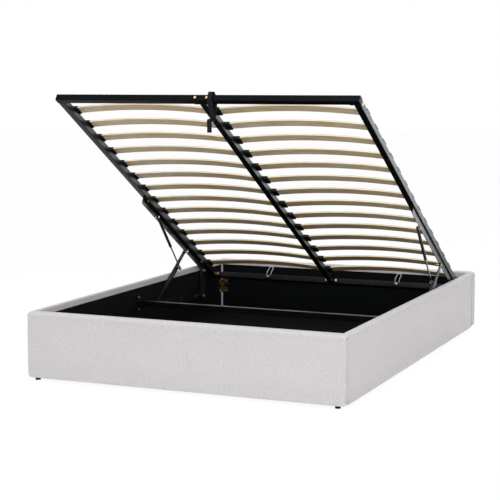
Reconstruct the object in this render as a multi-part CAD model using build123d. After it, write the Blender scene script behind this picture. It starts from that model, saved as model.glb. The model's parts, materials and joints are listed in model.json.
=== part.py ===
from build123d import *
import math
import os

# Ottoman storage bed, shown open. Millimetres. X across, +Y towards the head, +Z up.
# The origin is on the floor under the middle of the base.

# Bed base, outside
bed_width = 1510
bed_length = 2120
bed_height = 310
foot_height = 12

# Upholstered panels, each a board with a padded cover outside and a lining inside
foot_panel_depth = 42
head_panel_depth = 60
side_rail_depth = 27
panel_padding = 10
rail_padding = 8
cover_turn_down = 28
lining_thickness = 2
rail_lining_gap = 12
panel_lining_gap = 5
panel_corner_radius = 16
rail_edge_radius = 12

# Floor of the storage space
floor_thickness = 6
batten_width = 25
batten_height = 22
centre_batten_width = 70
floor_joint_gap = 1
floor_edge_gap = 3

# Feet under the panels and the centre batten
foot_radius = 12
foot_inset = 40
centre_foot_share = 0.45

# Corner brackets inside the base
corner_bracket_leg = 38
corner_bracket_height = 74
corner_bracket_bottom = 120
corner_bracket_thickness = 2.5
corner_bracket_web = 14
corner_bracket_notch = 12
corner_bracket_screw_inset = 10

# Screws and bolts
screw_head_radius = 4.5
screw_head_height = 2
screw_radius = 2
screw_depth = 14
bolt_head_radius = 6
bolt_head_height = 3.5
bolt_radius = 3
bolt_clearance = 0.2

# Cross beam between the side rails
beam_pivot_distance = 187
beam_top = 218
beam_size = 30
beam_wall = 1.5
beam_plate_width = 30
beam_plate_height = 88
beam_plate_thickness = 4
beam_bolt_spacing = 60

# Slatted lid frame, in its own frame: back from the head edge, up from the underside of the tubes
tube_size = 30
tube_wall = 1.5
tube_corner_radius = 2
centre_flange_width = 78
centre_flange_thickness = 3
centre_bolt_offset = 28
corner_tab_width = 20
corner_bolt_offset = 7
side_bolt_back = 48
side_bolt_head_height = 2
foot_hole_x = 370
foot_hole_radius = 3.5
end_cap_thickness = 2
end_cap_plug = 18
end_cap_clearance = 0.3

# How the lid lies: level when closed, tilted and moved towards the foot when open
lid_head_gap = 13.5
lid_foot_gap = 10.5
lid_side_gap = 4
lid_closed_height = 249.5
lid_open_angle = 31.2
lid_open_shift = 116.1
lid_open_drop = 32.8

# Sprung slats
slat_rows = 14
slat_width = 47
slat_thickness = 8
slat_bow = 22
first_slat_back = 137.5
last_slat_inset = 154.8
slat_seat_lift = 2.5

# Plastic slat holders on top of the tubes
holder_width = 51
holder_height = 16
holder_wall = 3
holder_outer_inset = 6
side_holder_reach = 9
centre_holder_reach = 18
holder_corner_chamfer = 4
holder_top_chamfer = 3

# Mattress retainers: bent wire loops on the head tube
retainer_x = 375
retainer_wire_radius = 2.5
retainer_width = 24
retainer_height = 60
retainer_kink = 26
retainer_lean = 9
retainer_bend = 10
retainer_clamp_width = 36
retainer_clamp_height = 14
retainer_clamp_thickness = 2

# Pull strap on the foot tube
strap_x = 50
strap_width = 20
strap_thickness = 2
strap_slack = 32
strap_lean = 6
strap_crown_width = 12
strap_bend = 4
strap_knot_drop = 90
strap_clearance = 0.3
knot_width = 28
knot_depth = 22
knot_height = 26
knot_radius = 8
tail_length = 45
tail_thickness = 3

# Lifting mechanism, counted inwards from the lining of each side rail
base_bracket_thickness = 4
base_bracket_width = 30
base_bracket_drop = 5
plane_gap = 1
arm_thickness = 5
lid_rail_thickness = 3
strut_gap = 6.5
lid_rail_height = 34
lid_rail_leg = 22
lid_rail_start = 152.5
lid_rail_end = 1020
lid_rail_corner = 14
lobe_radius = 10
front_pivot_back = 430.5
front_pivot_drop = 32.5
rear_pivot_back = 176.5
rear_pivot_drop = 30.5
strut_pivot_back = 850.5
strut_pivot_drop = 28.5
front_arm_length = 419
rear_link_length = 142
arm_upper_width = 22
arm_lower_width = 28
arm_flange_depth = 9.5
arm_flange_thickness = 3
arm_flange_start = 20
arm_flange_margin = 25
link_width = 30
link_channel_depth = 23
link_channel_end = 100
link_web_thickness = 4
link_inner_thickness = 3
pin_radius = 5
pin_clearance = 0.05
pin_head_radius = 9
pin_head_height = 3
pin_spacer_radius = 6
pin_spacer_length = 11
open_pivot_gap = 0.3
base_screw_shares = (0.24, 0.57, 0.9)
lid_rail_bolt_shares = (0.095, 0.957)

# Gas strut from the lid rail to the front arm
strut_foot_along = 293
strut_foot_offset = 11
cylinder_radius = 7.5
cylinder_bore = 6
cylinder_start = 26
cylinder_length = 200
cylinder_end_wall = 14
rod_radius = 4
rod_clearance = 0.1
piston_radius = 5.7
piston_length = 10
piston_start = 190
eye_radius = 9
eye_thickness = 8
eye_neck_length = 18
eye_neck_radius = 5
eye_neck_overlap = 2

# One overrun for every cut
overrun = 5

# Worked-out places
half_width = bed_width / 2
half_length = bed_length / 2
inner_half_width = half_width - side_rail_depth
foot_inner_y = -half_length + foot_panel_depth
head_inner_y = half_length - head_panel_depth
floor_underside = foot_height + batten_height
floor_top = floor_underside + floor_thickness
lid_half_width = inner_half_width - lid_side_gap
lid_length = head_inner_y - lid_head_gap - foot_inner_y - lid_foot_gap
slat_pitch = (lid_length - last_slat_inset - first_slat_back) / (slat_rows - 1)
lid_closed_y = head_inner_y - lid_head_gap
lid_open_y = lid_closed_y - lid_open_shift
lid_open_z = lid_closed_height - lid_open_drop
lid_place = Pos(0, lid_open_y, lid_open_z) * Rot(-lid_open_angle, 0, 0)
lid_closed_place = Pos(0, lid_closed_y, lid_closed_height)

# Planes of the mechanism on one side, measured from the middle of the bed
bracket_face = inner_half_width - base_bracket_thickness
arm_outer = bracket_face - plane_gap
arm_inner = arm_outer - arm_thickness
rail_outer = arm_inner - plane_gap
rail_inner = rail_outer - lid_rail_thickness
strut_axis = rail_inner - strut_gap - cylinder_radius
link_inner = arm_outer - link_channel_depth
slat_seat_height = tube_size + slat_seat_lift


def block(x0, x1, y0, y1, z0, z1):
    """Box between two corners, whichever way round they are given."""
    middle = Pos((x0 + x1) / 2, (y0 + y1) / 2, (z0 + z1) / 2)
    return middle * Box(abs(x1 - x0), abs(y1 - y0), abs(z1 - z0))


def pin(x0, x1, y, z, radius):
    """Cylinder along X."""
    return Pos((x0 + x1) / 2, y, z) * Rot(0, 90, 0) * Cylinder(radius, abs(x1 - x0))


def pin_y(x, y0, y1, z, radius):
    """Cylinder along Y."""
    return Pos(x, (y0 + y1) / 2, z) * Rot(90, 0, 0) * Cylinder(radius, abs(y1 - y0))


def pin_z(x, y, z0, z1, radius):
    """Cylinder along Z."""
    return Pos(x, y, (z0 + z1) / 2) * Cylinder(radius, abs(z1 - z0))


def plate(profile, x0, x1):
    """A profile in Y and Z, given thickness along X."""
    low, high = min(x0, x1), max(x0, x1)
    return Pos(low, 0, 0) * extrude(Plane.YZ * profile, amount=high - low)


def slot(start, end, width):
    """Round-ended bar between two (y, z) points."""
    (y0, z0), (y1, z1) = start, end
    angle = math.degrees(math.atan2(z1 - z0, y1 - y0))
    return Pos((y0 + y1) / 2, (z0 + z1) / 2) * Rot(0, 0, angle) * SlotCenterToCenter(
        math.hypot(y1 - y0, z1 - z0), width)


def rectangle(y0, y1, z0, z1):
    return Pos((y0 + y1) / 2, (z0 + z1) / 2) * Rectangle(abs(y1 - y0), abs(z1 - z0))


def disc(point, radius):
    return Pos(point[0], point[1]) * Circle(radius)


def cut(shape, tools):
    for tool in tools:
        shape = shape - tool
    return shape


def save(name, solids):
    """Write one node: a single solid, or several separate ones."""
    solids = [solid for shape in solids for solid in shape.solids()]
    shape = solids[0] if len(solids) == 1 else Compound(solids)
    export_step(shape, "parts/" + name + ".step")


def lid_pivot(place, back, drop):
    """World (y, z) of a point of the lid frame, for one lie of the lid."""
    point = (place * Pos(0, -back, -drop)).position
    return point.Y, point.Z


def fixed_pivot(back, drop, length):
    """Base pivot whose arm carries a lid point from its open to its closed place."""
    open_y, open_z = lid_pivot(lid_place, back, drop)
    closed_y, closed_z = lid_pivot(lid_closed_place, back, drop)
    chord = math.hypot(closed_y - open_y, closed_z - open_z)
    reach = math.sqrt(length ** 2 - (chord / 2) ** 2)
    away_y, away_z = (closed_z - open_z) / chord, -(closed_y - open_y) / chord
    return (open_y + closed_y) / 2 + reach * away_y, (open_z + closed_z) / 2 + reach * away_z


def direction(start, end):
    return math.degrees(math.atan2(end[1] - start[1], end[0] - start[0]))


front_lid_pivot = lid_pivot(lid_place, front_pivot_back, front_pivot_drop)
rear_lid_pivot = lid_pivot(lid_place, rear_pivot_back, rear_pivot_drop)
strut_lid_pivot = lid_pivot(lid_place, strut_pivot_back, strut_pivot_drop)
front_base_pivot = fixed_pivot(front_pivot_back, front_pivot_drop, front_arm_length)
rear_base_pivot = fixed_pivot(rear_pivot_back, rear_pivot_drop, rear_link_length)
beam_y = front_base_pivot[0] - beam_pivot_distance
arm_place = Pos(0, *front_base_pivot) * Rot(direction(front_base_pivot, front_lid_pivot), 0, 0)
link_place = Pos(0, *rear_base_pivot) * Rot(direction(rear_base_pivot, rear_lid_pivot), 0, 0)
strut_foot = (arm_place * Pos(0, strut_foot_along, -strut_foot_offset)).position
strut_foot_pivot = (strut_foot.Y, strut_foot.Z)
strut_place = Pos(0, *strut_lid_pivot) * Rot(direction(strut_lid_pivot, strut_foot_pivot), 0, 0)
strut_length = math.hypot(strut_foot.Y - strut_lid_pivot[0], strut_foot.Z - strut_lid_pivot[1])


def screw(x, y, z, toward):
    """Wood screw whose head lies on a face; toward is the way its point goes, as (x, y)."""
    dx, dy = toward
    if dx:
        head = pin(x - dx * screw_head_height, x, y, z, screw_head_radius)
        return head + pin(x, x + dx * screw_depth, y, z, screw_radius)
    head = pin_y(x, y - dy * screw_head_height, y, z, screw_head_radius)
    return head + pin_y(x, y, y + dy * screw_depth, z, screw_radius)


def screw_hole(x, y, z, toward):
    dx, dy = toward
    if dx:
        return pin(x, x + dx * screw_depth, y, z, screw_radius)
    return pin_y(x, y, y + dy * screw_depth, z, screw_radius)


def bolt_x(x, y, z, inward, reach):
    """Bolt along X with its head outside the face at x."""
    head = pin(x - inward * bolt_head_height, x, y, z, bolt_head_radius)
    return head + pin(x, x + inward * reach, y, z, bolt_radius)


def bolt_y(x, y, z, inward, reach):
    head = pin_y(x, y - inward * bolt_head_height, y, z, bolt_head_radius)
    return head + pin_y(x, y, y + inward * reach, z, bolt_radius)


# Screws that hold the corner brackets and the base brackets
def corner_screw_places():
    """(x, y, z, way in) for each screw of the four corner brackets."""
    places = []
    low = corner_bracket_bottom + corner_bracket_screw_inset
    high = corner_bracket_bottom + corner_bracket_height - corner_bracket_screw_inset
    along = corner_bracket_leg - corner_bracket_screw_inset
    for side in (-1, 1):
        for end, wall_y in ((-1, foot_inner_y), (1, head_inner_y)):
            for z in (low, high):
                face_x = side * (inner_half_width - corner_bracket_thickness)
                places.append((face_x, wall_y - end * along, z, (side, 0)))
                face_y = wall_y - end * corner_bracket_thickness
                places.append((side * (inner_half_width - along), face_y, z, (0, end)))
    return places


def base_screw_places():
    places = []
    (y0, z0), (y1, z1) = front_base_pivot, rear_base_pivot
    for side in (-1, 1):
        for share in base_screw_shares:
            y, z = y0 + (y1 - y0) * share, z0 + (z1 - z0) * share
            places.append((side * (bracket_face + screw_head_height), y, z, (side, 0)))
    return places


def beam_bolt_places():
    middle = beam_top - beam_size / 2
    places = []
    for side in (-1, 1):
        for z in (middle - beam_bolt_spacing / 2, middle + beam_bolt_spacing / 2):
            places.append((side * (inner_half_width - beam_plate_thickness), beam_y, z, side))
    return places


screw_holes = [screw_hole(*place) for place in corner_screw_places() + base_screw_places()]
beam_bolt_reach = beam_plate_thickness + lining_thickness + screw_depth
beam_bolt_holes = [pin(x, x + side * beam_bolt_reach, y, z, bolt_radius)
                   for x, y, z, side in beam_bolt_places()]
base_holes = screw_holes + beam_bolt_holes


def near(holes, shape):
    """Only the holes that reach into a shape's box."""
    box = shape.bounding_box()
    return [hole for hole in holes if hole.bounding_box().min.X < box.max.X
            and hole.bounding_box().max.X > box.min.X
            and hole.bounding_box().min.Y < box.max.Y
            and hole.bounding_box().max.Y > box.min.Y]


def end_panel(name, end, depth, inner_y):
    """Foot or head panel: end is -1 at the foot and 1 at the head."""
    outer_y = end * half_length
    board_outer_y = outer_y - end * panel_padding
    board_inner_y = inner_y + end * lining_thickness
    board_half = half_width - panel_padding
    board_top = bed_height - panel_padding
    board = block(-board_half, board_half, board_outer_y, board_inner_y, foot_height, board_top)
    cover = block(-half_width, half_width, outer_y, board_inner_y, foot_height, bed_height)
    cover = cover - block(-board_half, board_half, board_outer_y, board_inner_y - end * overrun,
                          foot_height - overrun, board_top)
    outline = cover.edges().filter_by(Axis.X).group_by(Axis.Z)[-1].sort_by(Axis.Y)
    corners = [outline[0] if end < 0 else outline[-1]]
    corners += cover.edges().filter_by(Axis.Z).group_by(Axis.Y)[0 if end < 0 else -1]
    corners += cover.edges().filter_by(Axis.Y).group_by(Axis.Z)[-1]
    cover = fillet(corners, panel_corner_radius)
    lip = block(-inner_half_width, inner_half_width, inner_y, board_inner_y,
                bed_height - cover_turn_down, bed_height)
    cover = cover + lip
    lining_half = inner_half_width - panel_lining_gap
    lining = block(-lining_half, lining_half, inner_y, board_inner_y,
                   floor_top, bed_height - cover_turn_down)
    save(name + "_board", [cut(board, near(base_holes, board))])
    save(name + "_cover", [cover])
    save(name + "_lining", [cut(lining, near(base_holes, lining))])


def side_rail(name, side):
    """Side rail between the end panels: side is -1 on the left and 1 on the right."""
    outer_x = side * half_width
    inner_x = side * inner_half_width
    board_outer_x = outer_x - side * rail_padding
    board_inner_x = inner_x + side * lining_thickness
    start = foot_inner_y - lining_thickness
    end = head_inner_y + lining_thickness
    board_top = bed_height - rail_padding
    board = block(board_outer_x, board_inner_x, start, end, foot_height, board_top)
    cover = block(outer_x, board_inner_x, start, end, foot_height, bed_height)
    cover = cover - block(board_outer_x, board_inner_x - side * overrun, start - overrun, end + overrun,
                          foot_height - overrun, board_top)
    top_edges = cover.edges().filter_by(Axis.Y).group_by(Axis.Z)[-1].sort_by(Axis.X)
    cover = fillet(top_edges[0] if side < 0 else top_edges[-1], rail_edge_radius)
    lip = block(inner_x, board_inner_x, start, end, bed_height - cover_turn_down, bed_height)
    cover = cover + lip
    lining = block(inner_x, board_inner_x, foot_inner_y + rail_lining_gap,
                   head_inner_y - rail_lining_gap, floor_top, bed_height - cover_turn_down)
    save(name + "_board", [cut(board, near(base_holes, board))])
    save(name + "_cover", [cover])
    save(name + "_lining", [cut(lining, near(base_holes, lining))])


def corner_bracket(side, end, wall_y):
    """Angle bracket with a notch half-way up each leg."""
    face_x = side * inner_half_width
    low, high = corner_bracket_bottom, corner_bracket_bottom + corner_bracket_height
    notch_low = (low + high - corner_bracket_notch) / 2
    notch_high = notch_low + corner_bracket_notch
    leg_x = face_x - side * corner_bracket_leg
    leg_y = wall_y - end * corner_bracket_leg
    inner_x = face_x - side * corner_bracket_thickness
    inner_y = wall_y - end * corner_bracket_thickness
    bracket = block(face_x, inner_x, wall_y, leg_y, low, high)
    bracket = bracket + block(face_x, leg_x, wall_y, inner_y, low, high)
    web_x = face_x - side * corner_bracket_web
    web_y = wall_y - end * corner_bracket_web
    bracket = bracket - block(face_x + side * overrun, leg_x, web_y, leg_y - end * overrun,
                              notch_low, notch_high)
    bracket = bracket - block(web_x, leg_x - side * overrun, wall_y + end * overrun, inner_y - end * overrun,
                              notch_low, notch_high)
    return cut(bracket, near(screw_holes, bracket))


def base_floor():
    """Two floor boards on battens round the inside and along the middle."""
    inner = inner_half_width + lining_thickness
    foot_face = foot_inner_y - lining_thickness
    head_face = head_inner_y + lining_thickness
    low, high = foot_height, floor_underside
    battens = []
    for side in (-1, 1):
        battens.append(block(side * inner, side * (inner - batten_width), foot_face, head_face, low, high))
    for end, face in ((-1, foot_face), (1, head_face)):
        battens.append(block(-inner + batten_width, inner - batten_width,
                             face, face - end * batten_width, low, high))
    half = centre_batten_width / 2
    battens.append(block(-half, half, foot_face + batten_width, head_face - batten_width, low, high))
    save("floor_battens", battens)
    edge_x = inner - floor_edge_gap
    middle = floor_joint_gap / 2
    boards = [block(-edge_x, edge_x, foot_face + floor_edge_gap, beam_y - middle,
                    floor_underside, floor_top)]
    boards.append(block(-edge_x, edge_x, beam_y + middle, head_face - floor_edge_gap,
                        floor_underside, floor_top))
    save("floor_boards", boards)


def base_feet():
    feet = []
    for side in (-1, 1):
        x = side * (half_width - foot_inset)
        feet.append(pin_z(x, -half_length + foot_panel_depth / 2, 0, foot_height, foot_radius))
        feet.append(pin_z(x, half_length - head_panel_depth / 2, 0, foot_height, foot_radius))
    for end in (-1, 1):
        feet.append(pin_z(0, end * centre_foot_share * half_length, 0, foot_height, foot_radius))
    save("feet", feet)


def cross_beam():
    """Square tube with a plate welded on each end."""
    face = inner_half_width - beam_plate_thickness
    low, high = beam_top - beam_size, beam_top
    half = beam_size / 2
    beam = block(-face, face, beam_y - half, beam_y + half, low, high)
    bore = half - beam_wall
    beam = beam - block(-face - overrun, face + overrun, beam_y - bore, beam_y + bore,
                        low + beam_wall, high - beam_wall)
    middle = (low + high) / 2
    for side in (-1, 1):
        end_plate = block(side * face, side * inner_half_width, beam_y - beam_plate_width / 2,
                          beam_y + beam_plate_width / 2, middle - beam_plate_height / 2,
                          middle + beam_plate_height / 2)
        beam = beam + end_plate
    holes = [pin(x - side * overrun, x + side * beam_bolt_reach, y, z, bolt_radius)
             for x, y, z, side in beam_bolt_places()]
    save("cross_beam", [cut(beam, holes)])
    save("cross_beam_bolts", [bolt_x(x, y, z, side, beam_bolt_reach) for x, y, z, side in beam_bolt_places()])


def base_brackets():
    """Flat bars on the side rails that carry the two fixed pivots of each side."""
    pins = []
    for side, name in ((-1, "left"), (1, "right")):
        (y0, z0), (y1, z1) = front_base_pivot, rear_base_pivot
        bar = plate(slot((y0, z0 - base_bracket_drop), (y1, z1 - base_bracket_drop), base_bracket_width),
                    side * bracket_face, side * inner_half_width)
        for x, y, z, toward in base_screw_places():
            bar = bar - pin(bracket_face * side, x, y, z, screw_head_radius)
            bar = bar - pin(bracket_face * side, inner_half_width * side, y, z, screw_radius)
        save(name + "_base_bracket", [bar])
        for (y, z), inner in ((front_base_pivot, arm_inner), (rear_base_pivot, link_inner)):
            head_face = inner - pin_clearance
            shank = pin(side * bracket_face, side * head_face, y, z, pin_radius)
            head = pin(side * head_face, side * (head_face - pin_head_height), y, z, pin_head_radius)
            pins.append(shank + head)
    save("base_pivot_pins", pins)


def front_arms():
    """Lifting arms: narrow above the strut, wide and folded inwards along the top below it."""
    hole = pin_radius + pin_clearance
    for side, name in ((-1, "left"), (1, "right")):
        foot = (strut_foot_along, -strut_foot_offset)
        profile = slot((0, 0), (front_arm_length, 0), arm_upper_width)
        profile = profile + slot((0, 0), foot, arm_lower_width)
        profile = profile - disc((0, 0), hole) - disc((front_arm_length, 0), hole)
        arm = plate(profile, side * arm_outer, side * arm_inner)
        lean = direction((0, 0), foot)
        reach = math.hypot(*foot)
        flange = block(side * arm_inner, side * (arm_inner - arm_flange_depth),
                       arm_flange_start, reach - arm_flange_margin,
                       arm_lower_width / 2 - arm_flange_thickness, arm_lower_width / 2)
        arm = arm + Rot(lean, 0, 0) * flange
        boss_end = strut_axis + eye_thickness / 2 + open_pivot_gap
        arm = arm + pin(side * arm_inner, side * boss_end, *foot, pin_radius)
        save(name + "_front_arm", [arm_place * arm])


def rear_links():
    """Short channel links near the head; the pin at the lid end stops short of the lid rail."""
    hole = disc((0, 0), pin_radius + pin_clearance)
    edge = link_width / 2
    for side, name in ((-1, "left"), (1, "right")):
        long_plate = slot((0, 0), (rear_link_length, 0), link_width) - hole
        short_plate = slot((0, 0), (link_channel_end - edge, 0), link_width) - hole
        link = plate(long_plate, side * arm_outer, side * arm_inner)
        link = link + plate(short_plate, side * (link_inner + link_inner_thickness), side * link_inner)
        web = block(side * arm_inner, side * link_inner, 0, link_channel_end - edge,
                    edge - link_web_thickness, edge)
        link = link + web
        boss_end = rail_outer + open_pivot_gap
        link = link + pin(side * arm_inner, side * boss_end, rear_link_length, 0, pin_head_radius)
        save(name + "_rear_link", [link_place * link])


def lid_rail_profile():
    """Upright leg of the lid rail: long strip with a lobe round each lifting pivot."""
    strip = rectangle(-lid_rail_end, -lid_rail_start, -lid_rail_height, 0)
    lower = strip.vertices().group_by(Axis.Y)[0]
    strip = fillet(lower, lid_rail_corner)
    for back, drop in ((front_pivot_back, front_pivot_drop), (rear_pivot_back, rear_pivot_drop)):
        strip = strip + disc((-back, -drop), lobe_radius)
    return strip


def lid_rail_bolt_places():
    span = lid_rail_end - lid_rail_start
    return [lid_rail_start + span * share for share in lid_rail_bolt_shares]


def spaced_head(side, y, z):
    """Spacer on the inner face of the lid rail with a bolt head on its end."""
    spacer_end = rail_inner - pin_spacer_length
    spacer = pin(side * rail_inner, side * spacer_end, y, z, pin_spacer_radius)
    return spacer + pin(side * spacer_end, side * (spacer_end - pin_head_height), y, z, pin_head_radius)


def lid_rails():
    """Angle rails under the side tubes, with the moving pivots of the mechanism."""
    hole = pin_radius
    bolts, pins = [], []
    for side, name in ((-1, "left"), (1, "right")):
        profile = lid_rail_profile() - disc((-front_pivot_back, -front_pivot_drop), hole)
        profile = profile - disc((-strut_pivot_back, -strut_pivot_drop), rod_radius)
        rail = plate(profile, side * rail_outer, side * rail_inner)
        leg_inner = rail_outer - lid_rail_leg
        rail = rail + block(side * rail_outer, side * leg_inner, -lid_rail_start, -lid_rail_end,
                            -lid_rail_thickness, 0)
        bolt_x_place = side * (rail_inner + leg_inner) / 2
        for back in lid_rail_bolt_places():
            rail = rail - pin_z(bolt_x_place, -back, -lid_rail_thickness - overrun, overrun, bolt_radius)
            head = pin_z(bolt_x_place, -back, -lid_rail_thickness - bolt_head_height,
                         -lid_rail_thickness, bolt_head_radius)
            shank = pin_z(bolt_x_place, -back, -lid_rail_thickness, tube_size / 2, bolt_radius)
            bolts.append(lid_place * (head + shank))
        save(name + "_lid_rail", [lid_place * rail])
        head_end = arm_outer + pin_clearance
        arm_pin = pin(side * rail_inner, side * head_end, -front_pivot_back, -front_pivot_drop, pin_radius)
        inner_head = spaced_head(side, -front_pivot_back, -front_pivot_drop)
        rear_head = spaced_head(side, -rear_pivot_back, -rear_pivot_drop)
        stud_end = strut_axis - eye_thickness / 2 - pin_clearance
        stud = pin(side * rail_outer, side * stud_end, -strut_pivot_back, -strut_pivot_drop, rod_radius)
        stud_collar = pin(side * rail_inner, side * (strut_axis + eye_thickness / 2 + pin_clearance),
                          -strut_pivot_back, -strut_pivot_drop, pin_radius)
        stud_head = pin(side * stud_end, side * (stud_end - pin_head_height),
                        -strut_pivot_back, -strut_pivot_drop, pin_radius)
        pins += [lid_place * (arm_pin + inner_head), lid_place * rear_head,
                 lid_place * (stud + stud_collar + stud_head)]
    save("lid_rail_bolts", bolts)
    save("lid_pivot_pins", pins)


def gas_struts():
    """Cylinder on the lid rail's stud, and the rod that slides in it."""
    for side, name in ((-1, "left"), (1, "right")):
        x = side * strut_axis
        end = cylinder_start + cylinder_length
        cylinder = pin_y(x, cylinder_start, end, 0, cylinder_radius)
        cylinder = cylinder - pin_y(x, cylinder_start + cylinder_end_wall, end - cylinder_end_wall, 0, cylinder_bore)
        cylinder = cylinder - pin_y(x, end - cylinder_end_wall - overrun, end + overrun, 0, rod_radius + rod_clearance)
        neck = pin_y(x, eye_radius - eye_neck_overlap, cylinder_start, 0, eye_neck_radius)
        eye = pin(x - eye_thickness / 2, x + eye_thickness / 2, 0, 0, eye_radius)
        eye_hole = pin(x - eye_thickness, x + eye_thickness, 0, 0, rod_radius + pin_clearance)
        save(name + "_gas_cylinder", [strut_place * (cylinder + neck + eye - eye_hole)])
        rod = pin_y(x, piston_start, strut_length - eye_neck_length, 0, rod_radius)
        rod = rod + pin_y(x, piston_start, piston_start + piston_length, 0, piston_radius)
        rod = rod + pin_y(x, strut_length - eye_neck_length, strut_length - eye_radius + eye_neck_overlap,
                          0, eye_neck_radius)
        rod = rod + pin(x - eye_thickness / 2, x + eye_thickness / 2, strut_length, 0, eye_radius)
        head = pin(x - side * eye_thickness / 2, x - side * (eye_thickness / 2 + pin_head_height),
                   strut_length, 0, pin_radius)
        save(name + "_gas_rod", [strut_place * (rod + head)])


def tube_along_y(x, y0, y1):
    """Square tube with rounded corners along Y, its underside at height zero."""
    half = tube_size / 2
    bore = half - tube_wall
    tube = block(x - half, x + half, y0, y1, 0, tube_size)
    tube = fillet(tube.edges().filter_by(Axis.Y), tube_corner_radius)
    return tube - block(x - bore, x + bore, y0 - overrun, y1 + overrun, tube_wall, tube_size - tube_wall)


def tube_along_x(y0, y1):
    """End tube of the lid, over the lid's full width."""
    tube = block(-lid_half_width, lid_half_width, y0, y1, 0, tube_size)
    tube = fillet(tube.edges().filter_by(Axis.X), tube_corner_radius)
    low, high = min(y0, y1) + tube_wall, max(y0, y1) - tube_wall
    return tube - block(-lid_half_width - overrun, lid_half_width + overrun, low, high,
                        tube_wall, tube_size - tube_wall)


def frame_bolt_places():
    """Bolts of the flanges and tabs on the end tubes: (x, face under the head, way in, reach)."""
    flange_foot = -lid_length + tube_size + centre_flange_thickness
    flange_head = -tube_size - centre_flange_thickness
    reach = tube_size + centre_flange_thickness
    corner_reach = tube_size / 2 + centre_flange_thickness
    corner_x = lid_half_width - tube_size - corner_bolt_offset
    places = []
    for side in (-1, 1):
        places.append((side * centre_bolt_offset, -lid_length, 1, reach))
        places.append((side * centre_bolt_offset, flange_head, 1, reach))
        places.append((side * corner_x, flange_foot, -1, corner_reach))
        places.append((side * corner_x, flange_head, 1, corner_reach))
    return places


def holder_places():
    """Distances back from the head edge of the slat rows."""
    return [first_slat_back + row * slat_pitch for row in range(slat_rows)]


def side_tube(side):
    """Side tube with a tab welded at each end for its corner bolt."""
    centre_x = side * (lid_half_width - tube_size / 2)
    tube = tube_along_y(centre_x, -lid_length + tube_size, -tube_size)
    inner_face = side * (lid_half_width - tube_size)
    for y0, inward in ((-lid_length + tube_size, 1), (-tube_size, -1)):
        tube = tube + block(inner_face + side * tube_corner_radius, inner_face - side * corner_tab_width,
                            y0, y0 + inward * centre_flange_thickness, 0, tube_size)
    outer_face = side * lid_half_width
    return tube - pin(outer_face + side * overrun, outer_face - side * (tube_wall + overrun),
                      -lid_length + side_bolt_back, tube_size / 2, bolt_radius)


def lid_tubes():
    middle = tube_size / 2
    holes = [pin_y(x, y - inward * overrun, y + inward * (reach + overrun), middle, bolt_radius + bolt_clearance)
             for x, y, inward, reach in frame_bolt_places()]
    for side, name in ((-1, "lid_left_tube"), (1, "lid_right_tube")):
        x = side * (rail_inner + rail_outer - lid_rail_leg) / 2
        rail_holes = [pin_z(x, -back, -overrun, middle + overrun, bolt_radius)
                      for back in lid_rail_bolt_places()]
        tube = side_tube(side)
        save(name, [lid_place * cut(tube, rail_holes + near(holes, tube))])
    foot_tube = tube_along_x(-lid_length, -lid_length + tube_size)
    head_tube = tube_along_x(-tube_size, 0)
    retainer_holes = [pin_y(side * retainer_x, overrun, -tube_size - overrun, middle, bolt_radius + bolt_clearance)
                      for side in (-1, 1)]
    foot_holes = [pin_y(side * foot_hole_x, -lid_length - overrun, -lid_length + tube_wall + overrun,
                        middle, foot_hole_radius) for side in (-1, 1)]
    save("lid_foot_tube", [lid_place * cut(foot_tube, near(holes, foot_tube) + foot_holes)])
    save("lid_head_tube", [lid_place * cut(head_tube, near(holes, head_tube) + retainer_holes)])
    centre = tube_along_y(0, -lid_length + tube_size, -tube_size)
    half = centre_flange_width / 2
    bore = middle - tube_wall
    for y0, inward in ((-lid_length + tube_size, 1), (-tube_size, -1)):
        flange = block(-half, half, y0, y0 + inward * centre_flange_thickness, 0, tube_size)
        flange = flange - block(-bore, bore, y0 - inward * overrun,
                                y0 + inward * (centre_flange_thickness + overrun),
                                tube_wall, tube_size - tube_wall)
        centre = centre + flange
    save("lid_centre_tube", [lid_place * cut(centre, near(holes, centre))])


def frame_bolts():
    bolts = []
    middle = tube_size / 2
    for x, y, inward, reach in frame_bolt_places():
        bolts.append(lid_place * bolt_y(x, y, middle, inward, reach))
    for side in (-1, 1):
        face = -tube_size - retainer_clamp_thickness - 2 * retainer_wire_radius
        bolts.append(lid_place * bolt_y(side * retainer_x, face, middle, 1, -face))
        outer_face = side * lid_half_width
        back = -lid_length + side_bolt_back
        head = pin(outer_face, outer_face + side * side_bolt_head_height, back, middle, bolt_head_radius)
        shank = pin(outer_face, outer_face - side * middle, back, middle, bolt_radius)
        bolts.append(lid_place * (head + shank))
    save("frame_bolts", bolts)


def tube_end_caps():
    """Plugs in the open ends of the foot and head tubes."""
    caps = []
    middle = tube_size / 2
    plug = middle - tube_wall - end_cap_clearance
    for y in (-middle, -lid_length + middle):
        for side in (-1, 1):
            face = side * lid_half_width
            cap = block(face, face + side * end_cap_thickness, y - middle, y + middle, 0, tube_size)
            cap = fillet(cap.edges().filter_by(Axis.X), tube_corner_radius)
            cap = cap + block(face, face - side * end_cap_plug,
                              y - plug, y + plug, middle - plug, middle + plug)
            caps.append(lid_place * cap)
    save("tube_end_caps", caps)


def slat(x0, x1, y):
    """Bent slat between two holders: two arcs in X and Z, given width along Y."""
    middle = (x0 + x1) / 2
    low = slat_seat_height
    under = ThreePointArc((x0, low), (middle, low + slat_bow), (x1, low))
    high = low + slat_thickness
    over = ThreePointArc((x0, high), (middle, high + slat_bow), (x1, high))
    ends = [Line((x0, low), (x0, high)), Line((x1, low), (x1, high))]
    section = make_face([under, over] + ends)
    return Pos(0, y + slat_width / 2, 0) * extrude(Plane.XZ * section, amount=slat_width)


def slat_spans():
    """Left and right columns, from the middle of the centre holder to the side holder."""
    near_side = lid_half_width - holder_outer_inset - holder_wall
    return ((-near_side, -holder_wall), (holder_wall, near_side))


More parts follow.
